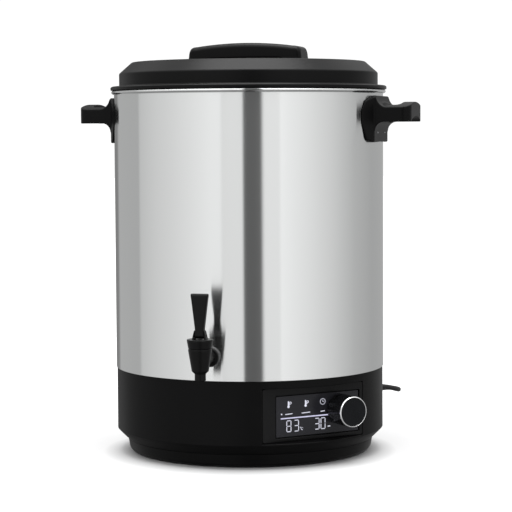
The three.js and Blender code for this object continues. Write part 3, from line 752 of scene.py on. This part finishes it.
def bar_section(width, bottom, top):
    """(y, z) points of a section with large radii above and small ones below."""
    upper = min(6.5, (top - bottom) * 0.45)
    lower = min(2.0, (top - bottom) * 0.2)
    points = []
    for side, z, radius, start in ((1, bottom, lower, -90), (1, top, upper, 0),
                                   (-1, top, upper, 90), (-1, bottom, lower, 180)):
        centre_z = z + radius if z == bottom else z - radius
        for i in range(9):
            angle = radians(start + 90 * i / 8)
            points.append(polar(radius, angle, side * (width - radius), centre_z))
    return points


# ------------------------ tap
TAP_BONNET_Z, TAP_BONNET_TOP = 160, 171.5


def make_tap_body():
    upper = rounded([(0, 119.8), (7, 119.8, 0.8), (7, 128.4, 1), (10.6, 131.8, 1.5), (14.8, 157, 2),
                     (14.8, 159.6, 0.6), (12.6, 159.6, 0.3), (12.6, 166), (0, 166)])
    upper = moved(revolve(upper, FINE), at(0, TAP_Y, 0))
    shank = rounded([(0, 162), (8, 162, 0.8), (8, 183.6), (12.2, 183.6, 0.6), (12.2, 187.6, 1.6),
                     (8.6, 188.2, 1), (8, 192, 2), (8, 221.5), (0, 221.5)])
    forward = at(0, 0, TAP_Z) @ outwards((0, -1, 0))
    shank = moved(revolve(shank, FINE), forward)
    mesh = combined(upper, [shank], "UNION")
    bores = [drill(9, 138, 175, at(0, TAP_Y, 0)), drill(4.5, 110, 139, at(0, TAP_Y, 0)),
             drill(5, 155, 220, forward)]
    mesh = cut(mesh, *bores)
    piece("tap_housing", mesh, "kettle", TAP_BLACK, ["tap_body"])
    seal = rounded([(8.3, 180.35), (12.9, 180.35, 1.2), (12.9, 183.25, 1.2), (8.3, 183.25)], True)
    piece("tap_seal", moved(revolve(seal, FINE, ring=True), forward), "kettle", DARK_SEAL,
          ["tap_washer_outer"])
    nut = loft([circle(r, z, 6) for r, z in ((12.6, 167), (14, 167.9), (14, 174), (12.6, 174.9))])
    nut = cut(nut, drill(SHANK_HOLE_R, 160, 180, at(0, 0, 0)))
    piece("tap_backnut", moved(nut, forward), "kettle", ZINC, ["tap_nut"])


def make_tap_bonnet():
    low, high = TAP_BONNET_Z, TAP_BONNET_TOP
    cap = rounded([(14.7, low + 0.3, 0.5), (16.3, high - 2.6, 3), (16.5, high, 1.1), (10.5, high, 0.6),
                   (3.3, high), (3.3, 166.5), (12.8, 166.5), (12.8, low)], True)
    mesh = revolve(cap, FINE, ring=True)
    for side in (-1, 1):
        levels = [(9.8, 5.2, high - 0.8), (9.1, 4.7, high + 0.5), (8.75, 4.5, 173.6),
                  (7.65, 4.3, 178.4), (7.0, 4.0, 181.0), (6.75, 3.4, 181.9), (6.6, 2.4, 182.4)]
        loops = []
        for reach, depth, z in levels:
            loops.append([(side * x, y, z) for x, y, z in
                          rectangle(6.3, reach, -depth, depth, min(0.7, (reach - 6.3) * 0.4), z, 4)])
        mesh = combined(mesh, [loft(loops)], "UNION")
    hole = drill(PIN_HOLE_R, -12, 12, at(0, 0, LEVER_PIN.z) @ outwards((1, 0, 0)), 24)
    mesh = moved(cut(mesh, hole), at(0, TAP_Y, 0))
    piece("tap_cap", mesh, "kettle", TAP_BLACK, ["tap_bonnet"])


def make_tap_lever():
    pivot = LEVER_PIN.z
    loops = []
    for i in range(9):
        angle = radians(6 + 84 * i / 8)
        depth = 4.5 * sin(angle)
        loops.append(rectangle(-5.7, 5.7, -depth, depth, min(1.2, depth * 0.6),
                               pivot - 4.5 * cos(angle), 5))
    levels = [(181, 5.7, 4.35), (184, 5.75, 4.25), (187, 6.1, 4.15), (192, 6.75, 4.05),
              (204, 8.3, 3.8), (216, 9.85, 3.6), (222, 10.65, 3.5), (224.6, 11.2, 3.4),
              (226, 11.35, 3.1), (227, 11.2, 2.6), (227.7, 10.8, 2.0), (228, 10.2, 1.3)]
    for z, width, depth in levels:
        loops.append(rectangle(-width, width, -depth, depth, min(1.7, depth * 0.6), z, 5))
    mesh = loft(loops)
    hole = drill(PIN_HOLE_R, -12, 12, at(0, 0, pivot) @ outwards((1, 0, 0)), 24)
    mesh = moved(cut(mesh, hole), at(0, TAP_Y, 0))
    piece("tap_paddle", mesh, "tap_lever", TAP_BLACK, ["tap_lever"])
    pin = rounded([(0, -7.4), (1.5, -7.4, 0.5), (1.5, 7.4, 0.5), (0, 7.4)])
    turn = at(0, TAP_Y, pivot) @ outwards((1, 0, 0))
    piece("tap_pin", moved(revolve(pin, 32), turn), "tap_lever", ZINC,
          ["tap_lever_pin"])


# ------------------------ base
RECESS_LEFT, RECESS_RIGHT = -73.2, 77.9  # opening for the control panel; at the right it runs
RECESS_LOW, RECESS_HIGH = 32.8, 102.9  # out flush with the wall
RECESS_D = 157.3  # distance of the recess's flat back from the axis
RECESS_ROUND, RECESS_DRAFT = 0.9, 0.4
TURN_LEFT, TURN_RIGHT = (asin(s / BASE_R) for s in (RECESS_LEFT, RECESS_RIGHT))


def housing_radius(turn, z, radius):
    """Outside radius at an angle from the panel's direction: the wall, sunk where the panel goes."""
    inside = min((turn - TURN_LEFT) * BASE_R, (TURN_RIGHT - turn) * BASE_R, z - RECESS_LOW,
                 RECESS_HIGH - z)
    if inside <= -RECESS_ROUND:
        return radius
    if inside < 0:
        share = 1 + inside / RECESS_ROUND
        return radius - RECESS_ROUND * (1 - sqrt(1 - share * share))
    back = RECESS_D / cos(turn)
    share = min(1.0, inside / RECESS_DRAFT)
    return (radius - RECESS_ROUND) * (1 - share) + back * share


def make_base_housing():
    edge = [-RECESS_ROUND, -0.7, -0.45, -0.2, -0.06, 0, RECESS_DRAFT]
    wall = rounded([(166, BASE_LOW), (176, 27.7, 2), (BASE_R, 31, 1), (BASE_R, 31.6)])
    rows = [(z, r) for r, z in wall]
    rows += [(RECESS_LOW + e, BASE_R) for e in edge]
    rows += [(z, BASE_R) for z in (50, 68, 86)]
    rows += [(RECESS_HIGH - e, BASE_R) for e in reversed(edge)]
    rows += [(z, r) for r, z in rounded([(BASE_R, 106), (BASE_R, BASE_TOP, 1.2), (177.5, BASE_TOP)])]
    first, last = TURN_LEFT + RECESS_DRAFT / BASE_R, TURN_RIGHT - RECESS_DRAFT / BASE_R
    turns = [first + (last - first) * i / 32 for i in range(1, 32)]
    turns += [TURN_RIGHT - e / BASE_R for e in reversed(edge)]
    first, last = TURN_RIGHT + RECESS_ROUND / BASE_R, TURN_LEFT - RECESS_ROUND / BASE_R
    last += 2 * pi
    turns += [first + (last - first) * i / 184 for i in range(1, 184)]
    turns += [2 * pi + TURN_LEFT + e / BASE_R for e in edge]
    inner = BASE_R - 2.5
    columns = []
    for turn in turns:
        signed = turn if turn <= pi else turn - 2 * pi
        back = 154.6 / cos(signed) if abs(signed) < 1 else inner
        niche = min(inner, back)
        line = [(housing_radius(signed, z, r), z) for z, r in rows]
        line += [(inner, BASE_TOP), (inner, 105.9), (niche, 105.7), (niche, 30.2),
                 (min(niche + 20, 174.1), 30.1), (164.5, 20.5), (140, 20.5), (140, BASE_LOW)]
        angle = PANEL_AZIMUTH + turn
        columns.append([(*polar(r, angle), z) for r, z in line])
    mesh = loft(columns, wrap=True)
    mesh = cut(mesh, drill(CORD_HOLE_R, 170, 185, at(0, 0, 60) @ outwards(CORD_OUT)))
    piece("base_shell", mesh, "kettle", BLACK, ["base_housing"], 34)


def make_bottom():
    top = BASE_LOW - 0.3
    dish = rounded([(0, 2.5), (30, 2.5, 0.8), (32, 5, 0.8), (157, 5, 0.6), (159, 2.5, 0.6),
                    (161, 2.5, 1), (163, 5.2, 1), (165.4, top, 0.6), (159, top), (159, 7.5),
                    (0, 7.5)])
    mesh = revolve(dish)
    slots = []
    for i in range(8):
        vent = loft([rectangle(60, 95, -2, 2, 1.9, z, 5) for z in (0, 12)])
        slots.append(moved(vent, Matrix.Rotation(pi / 4 * (i + 0.5), 4, "Z")))
    pocket = [(0, -5), (4.6, -5), (4.6, 7), (0, 7)]
    feet = ring_places(4, FOOT_RING, share=0.5)
    for bolt_place, foot_place in zip(ring_places(4, BOLT_RING), feet, strict=True):
        slots += [moved(revolve(pocket, 32), bolt_place), drill(3.3, 0, 12, foot_place)]
    mesh = cut(mesh, joined(slots))
    piece("base_plinth", mesh, "kettle", BLACK, ["bottom_cover"], 34)
    foot = rounded([(0, 1.2), (3.2, 1.2), (3.8, 0.7), (4.6, 0.7), (5.2, 0.05), (7.2, 0.05), (7.7, 0.9),
                    (8.5, 0.9), (9, 0.05), (12.4, 0, 1), (14, 1.6, 1), (14, 4.8, 0.5), (3, 4.8),
                    (3, 7.8), (4.6, 7.8, 0.4), (3, 11, 0.4), (0, 11)])
    for i, place in enumerate(feet, 1):
        piece(f"rubber_foot_{i}", moved(revolve(foot, 48), place), "kettle", RUBBER,
              [f"foot_{i}"])


# ------------------------ control panel
PLATE = (-71.7, 77.2, 33.1, 102.6)  # left, right, bottom and top of the panel's frame
WINDOW = (-52.5, 72.8, 38.0, 92.6)
PANE_D = 159.8  # distance of the pane's face from the axis
KNOB_S = KNOB_AXIS.dot(PANEL_RIGHT)
KNOB_R, KNOB_BACK, KNOB_FRONT = 19.8, 162.0, 195.4


def plate_loop(edges, inset, radius, distance):
    left, right, bottom, top = edges
    return rectangle(left + inset, right - inset, bottom + inset, top - inset, radius - inset,
                     distance)


def make_panel():
    back = 157.6
    loops = [plate_loop(PLATE, 0, 3, z) for z in (back, PANEL_D - 0.8)]
    loops += [plate_loop(PLATE, 0.1, 3, PANEL_D - 0.4), plate_loop(PLATE, 0.3, 3, PANEL_D - 0.12),
              plate_loop(PLATE, 0.8, 3, PANEL_D)]
    loops += [plate_loop(WINDOW, -0.6, 1.5, PANEL_D), plate_loop(WINDOW, -0.2, 1.5, PANEL_D - 0.12),
              plate_loop(WINDOW, 0, 1.5, PANEL_D - 0.4), plate_loop(WINDOW, 0, 1.5, back)]
    mesh = loft(loops, wrap=True)
    piece("panel_bezel", moved(mesh, PANEL_FRAME), "kettle", PANEL_BLACK,
          ["panel_frame"], 50)
    loops = [plate_loop(WINDOW, 1.3, 1.6, z) for z in (back, PANE_D - 0.3)]
    loops += [plate_loop(WINDOW, 1.36, 1.6, PANE_D - 0.1), plate_loop(WINDOW, 1.5, 1.6, PANE_D)]
    mesh = loft(loops)
    hole = drill(5.2, 150, 170, at(KNOB_S, KNOB_AXIS.z, 0))
    mesh = cut(mesh, hole)
    piece("display_pane", moved(mesh, PANEL_FRAME), "kettle", GLASS,
          ["display_window"], 50)


def make_knob():
    place = PANEL_FRAME @ at(KNOB_S, KNOB_AXIS.z, 0)
    front, back = KNOB_FRONT, KNOB_BACK
    cap = rounded([(6, back + 2), (6, 188.6), (17.4, 188.6), (17.4, back, 0.4), (KNOB_R - 0.4, back, 0.8),
                   (KNOB_R, back + 3, 2), (KNOB_R, front - 3, 0.15), (KNOB_R - 1.7, front - 3),
                   (KNOB_R - 1.7, front - 1.2), (0, front - 1.2), (0, 186.4), (3.3, 186.4),
                   (3.3, back + 2)])
    mesh = revolve(cap, 128)
    piece("knob_body", moved(mesh, place), "knob", KNOB_SIDE, ["knob_cap"])
    face = rounded([(0, front - 1.1), (KNOB_R - 1.65, front - 1.1), (KNOB_R - 1.65, front - 0.5, 0.3),
                    (KNOB_R - 6, front - 0.75, 6), (0, front - 0.85)])
    piece("knob_face", moved(revolve(face, 128), place), "knob", KNOB_FACE)
    trim = rounded([(KNOB_R - 1.5, front - 2.8), (KNOB_R, front - 2.8), (KNOB_R, front - 0.9, 0.8),
                    (KNOB_R - 0.8, front, 0.35), (KNOB_R - 1.3, front, 0.2),
                    (KNOB_R - 1.5, front - 0.7)], True, 20)
    piece("knob_trim", moved(revolve(trim, 160, ring=True), place), "knob", CHROME,
          ["knob_ring"])


# Display symbols lie just in front of the pane, in (s, z) panel coordinates.
GLYPH_BACK, GLYPH_FRONT = PANE_D + 0.02, PANE_D + 0.12
DIGIT_W, DIGIT_H, STROKE = 7.2, 15.0, 1.0
SEGMENTS = {"8": "abcdefg", "3": "abcdg", "0": "abcdef"}
DIGITS = [("8", -32.6, 52.6), ("3", -21.4, 52.6), ("3", 9.2, 52.5), ("0", 18.2, 52.4)]


def add_prism(bm, outline):
    low = [bm.verts.new(Vector((s, z, GLYPH_BACK)) * MM) for s, z in outline]
    high = [bm.verts.new(Vector((s, z, GLYPH_FRONT)) * MM) for s, z in outline]
    bm.faces.new(low)
    bm.faces.new(high)
    for i in range(len(low)):
        j = (i + 1) % len(low)
        bm.faces.new((low[i], low[j], high[j], high[i]))


def add_bar(bm, start, end, width):
    """A bar whose ends come to a point."""
    a, b = Vector(start), Vector(end)
    along = (b - a).normalized() * width / 2
    across = Vector((-along.y, along.x))
    outline = [a, a + along + across, b - along + across, b, b - along - across, a + along - across]
    add_prism(bm, [tuple(p) for p in outline])


def add_disc(bm, centre, radius):
    steps = [2 * pi * i / 24 for i in range(24)]
    add_prism(bm, [polar(radius, step, *centre) for step in steps])


def add_arc(bm, centre, radius, width, start, sweep, steps=20):
    for i in range(steps):
        corners = []
        for k, reach in ((0, -1), (1, -1), (1, 1), (0, 1)):
            angle = radians(start + sweep * (i + k) / steps)
            out = radius + reach * width / 2
            corners.append(polar(out, angle, *centre))
        add_prism(bm, corners)


def add_digit(bm, digit, s, z):
    x, y, trim = (DIGIT_W - STROKE) / 2, (DIGIT_H - STROKE) / 2, 0.3
    ends = {
        "a": ((-x, y), (x, y)), "b": ((x, y), (x, 0)), "c": ((x, 0), (x, -y)),
        "d": ((-x, -y), (x, -y)), "e": ((-x, 0), (-x, -y)), "f": ((-x, y), (-x, 0)),
        "g": ((-x, 0), (x, 0)),
    }
    for segment in SEGMENTS[digit]:
        a, b = (Vector(p) + Vector((s, z)) for p in ends[segment])
        along = (b - a).normalized() * trim
        add_bar(bm, a + along, b - along, STROKE)


def add_thermometer(bm, s, z):
    add_disc(bm, (s - 0.9, z - 3.0), 1.7)
    add_bar(bm, (s - 0.9, z - 3.6), (s - 0.9, z + 4.4), 2.0)
    add_arc(bm, (s + 2.0, z + 1.6), 1.3, 0.8, 0, 360)
    add_bar(bm, (s - 0.9, z - 0.6), (s + 1.6, z - 0.6), 0.9)


def make_display():
    bm = bmesh.new()
    for digit, s, z in DIGITS:
        add_digit(bm, digit, s, z)
    add_arc(bm, (-15.4, 49.6), 0.6, 0.45, 0, 360)
    add_arc(bm, (-13.0, 48.0), 1.4, 0.6, 50, 260)
    add_bar(bm, (24.8, 48.0), (29.4, 48.0), 1.3)
    add_thermometer(bm, -32.1, 80.6)
    add_thermometer(bm, -6.8, 80.3)
    add_arc(bm, (17.9, 80.6), 3.7, 0.55, 0, 360, 32)
    add_bar(bm, (17.9, 80.2), (17.9, 83.0), 0.55)
    add_bar(bm, (17.6, 80.5), (19.8, 80.5), 0.55)
    add_disc(bm, (-43.2, 68.6), 1.0)
    for s, half in ((-32.7, 5.6), (-7.3, 6.6), (17.8, 3.4)):
        add_bar(bm, (s - half, 68.0), (s + half, 68.4), 1.0)
    mesh = moved(to_mesh(bm), PANEL_FRAME)
    piece("display_symbols", mesh, "kettle", GLOW)
    bm = bmesh.new()
    add_prism(bm, [(-44.5, 62.2), (31.5, 62.2), (31.5, 63.7), (-44.5, 63.7)])
    mesh = moved(to_mesh(bm), PANEL_FRAME)
    piece("display_line", mesh, "kettle", GLOW_LINE)


# ------------------------ mains lead
CORD_D = 0.007
CORD_ROUTE = [
    (0.1114, 0.1929, 0.0598),
    (0.1210, 0.2096, 0.0589),
    (0.1300, 0.2252, 0.0565),
    (0.1382, 0.2394, 0.0539),
    (0.1444, 0.2514, 0.0510),
    (0.1482, 0.2638, 0.0479),
    (0.1488, 0.2764, 0.0456),
    (0.1446, 0.2882, 0.0446),
    (0.1358, 0.2974, 0.0444),
    (0.1232, 0.3026, 0.0436),
    (0.1096, 0.3034, 0.0403),
    (0.0982, 0.3022, 0.0346),
    (0.0876, 0.3002, 0.0274),
    (0.0764, 0.2978, 0.0194),
    (0.0644, 0.2954, 0.0118),
    (0.0526, 0.2932, 0.0064),
    (0.0400, 0.2916, 0.0038),
    (0.0275, 0.2910, 0.0037),
]
COIL_CENTRE = (0.0, 0.246)
COIL_OUTER = 0.045  # radius of the outer turns' centreline
COIL_INNER = 0.038
COIL_LAYER = 0.0037  # height of the lowest turns' centreline
TAIL_ROUTE = [
    (-0.0318, 0.2778, 0.0181),
    (-0.0495, 0.2601, 0.0181),
    (-0.0672, 0.2424, 0.0181),
    (-0.0806, 0.2290, 0.0182),
]


def smooth(x):
    x = min(1.0, max(0.0, x))
    return x * x * (3 - 2 * x)


def curve_points(points, parts=4):
    """A Catmull-Rom curve through the points."""
    line = []
    padded = [2 * points[0] - points[1], *points, 2 * points[-1] - points[-2]]
    for a, b, c, d in zip(padded, padded[1:], padded[2:], padded[3:], strict=False):
        for k in range(parts):
            t = k / parts
            line.append(
                0.5 * (2 * b + (c - a) * t + (2 * a - 5 * b + 4 * c - d) * t * t
                       + (3 * b - a - 3 * c + d) * t ** 3)
            )
    return [*line, points[-1]]


def coil_points():
    """Two layers of two turns: outer low, inner low, inner high, outer high, then over the top."""
    points = []
    end = 4 * 360 + 45
    for degrees in range(0, end, 9):
        inwards = smooth((degrees - 300) / 60)
        outwards_again = smooth((degrees - 910) / 70)
        radius = COIL_OUTER - (COIL_OUTER - COIL_INNER) * (inwards - outwards_again)
        layers = smooth((degrees - 620) / 70) + 1.03 * smooth((degrees - 1200) / 70)
        height = COIL_LAYER + CORD_D * layers
        angle = radians(90 + degrees)
        points.append(Vector((*polar(radius, angle, *COIL_CENTRE), height)))
    return points


def make_cord():
    start = curve_points([Vector(p) for p in CORD_ROUTE])
    tail = curve_points([Vector(p) for p in TAIL_ROUTE])
    line = start + coil_points() + tail
    data = bpy.data.curves.new("mains_lead", "CURVE")
    data.dimensions = "3D"
    data.bevel_depth = CORD_D / 2
    data.bevel_resolution = 4
    data.use_fill_caps = True
    spline = data.splines.new("POLY")
    spline.points.add(len(line) - 1)
    for point, place in zip(spline.points, line, strict=True):
        point.co = (*place, 1)
    spline.use_smooth = True
    data.materials.append(CORD_PVC)
    lead = placed("mains_lead", data)
    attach(lead, "kettle")
    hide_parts("cord", "cord_coil", "cord_tail")
    length = sum((b - a).length for a, b in zip(line, line[1:], strict=False))
    return lead, length


def make_strain_relief():
    """A ribbed rubber boot that gets thinner away from the housing."""
    low = box_mm("cord_strain_relief")[0]
    profile = [(4.2, 176), (7.8, 176), (7.8, BASE_R + 0.4)]
    profile += rounded([(7.8, BASE_R + 0.4), (11, BASE_R + 0.4, 0.5), (11, BASE_R + 3.6, 1.2),
                        (8.6, BASE_R + 5.4, 0.8), (8.2, BASE_R + 8)])
    ribs, first, last = 8, BASE_R + 8, 219.0
    pitch = (last - first) / ribs
    for i in range(ribs):
        z = first + i * pitch
        radius = 8.2 - 3.2 * i / ribs
        slim = 4.3 + (radius - 4.3) * 0.35
        profile += [(radius, z + 0.2 * pitch), (radius - 0.2, z + 0.52 * pitch),
                    (slim, z + 0.66 * pitch), (slim, z + 0.9 * pitch)]
    profile += [(5, 219.4), (5, 221.4), (4.4, 222), (4.2, 222)]
    mesh = moved(revolve(profile, 40, ring=True), outwards(CORD_OUT))
    centre_z = low.z + 11
    mesh = moved(mesh, at(0, 0, centre_z))
    return piece("strain_relief", mesh, "kettle", RUBBER, ["cord_strain_relief"])


def make_plug():
    """A round two pin plug: ribbed neck, waist for the fingers, flat face with two pins."""
    turn = at(-80.8, 228.8, 18.2) @ outwards((-1, -1, 0))
    profile = rounded([(3.6, 0.3), (5.2, 0.3, 0.6), (5.6, 4)])
    for i in range(5):
        z = 5 + 3.4 * i
        profile += [(6.0 + 0.2 * i, z), (6.0 + 0.2 * i, z + 1.6), (5.0 + 0.2 * i, z + 2.0),
                    (5.0 + 0.2 * i, z + 3.0)]
    profile += rounded([(7.0, 22.6), (8.2, 25, 3), (13.4, 27.4, 4), (14.2, 34, 8), (17.9, 40, 5),
                        (17.9, 58.4, 1.6), (16.6, 60, 0.6), (0, 60)])
    body = revolve(profile, FINE)
    groove = [(0, 44), (1.1, 44.6), (1.1, 55.4), (0, 56)]
    grips = [moved(revolve(groove, 12), place) for place in ring_places(10, 18.3, share=0.5)]
    body = moved(cut(body, *grips), turn)
    plug = piece("plug", body, "kettle", CORD_PVC, ["plug_body"], sharp=30)
    pins = []
    for i, x in enumerate((-9.5, 9.5), 1):
        profile = rounded([(0, 45.5), (2.4, 45.5), (2.4, 77.8, 1.3), (1.1, 79, 0.4), (0, 79)])
        mesh = moved(revolve(profile, 32), turn @ at(x, 0, 0))
        pins.append(piece(f"plug_pin_{i}_metal", mesh, "kettle", CHROME,
                          [f"plug_pin_{i}"]))
        sleeve = rounded([(2.45, 60.02), (2.75, 60.02), (2.75, 69, 0.3), (2.45, 69)])
        mesh = moved(revolve(sleeve, 32, ring=True), turn @ at(x, 0, 0))
        pins.append(piece(f"plug_pin_{i}_sleeve", mesh, "kettle", CORD_PVC))
    return [plug, *pins]


def make_tie():
    """A hook and loop strap round the four strands of the coil."""
    angle = radians(202)
    middle = (COIL_OUTER + COIL_INNER) / 2 / MM
    loops = []
    for across in (-7, -6.4, 6.4, 7):
        edge = 0.35 if abs(across) == 7 else 0.7
        outer = rectangle(-7.4 - edge, 7.4 + edge, 0.12, 14.4 + edge, 3.4, across)
        loops.append([(x, z, y) for x, z, y in outer])
    inner = [rectangle(-7.2, 7.2, 0.3, 14.3, 3.1, across) for across in (7, -7)]
    strap = loft(loops + inner, wrap=True)
    turn = Matrix.Rotation(angle, 4, "Z") @ at(middle, 0, 0) @ Matrix.Rotation(pi / 2, 4, "X")
    centre = at(COIL_CENTRE[0] / MM, COIL_CENTRE[1] / MM, 0)
    return piece("coil_tie", moved(strap, centre @ turn), "kettle", RUBBER)


def make_lead():
    lead, length = make_cord()
    pieces = [make_strain_relief(), *make_plug(), make_tie()]


make_camera()
make_world()
make_stage()
dress_cad_nodes()
make_lead()
make_pot()
make_false_bottom()
make_screws()
make_handles()
make_lid()
make_lid_handle()
make_tap_body()
make_tap_bonnet()
make_tap_lever()
make_base_housing()
make_bottom()
make_panel()
make_knob()
make_display()
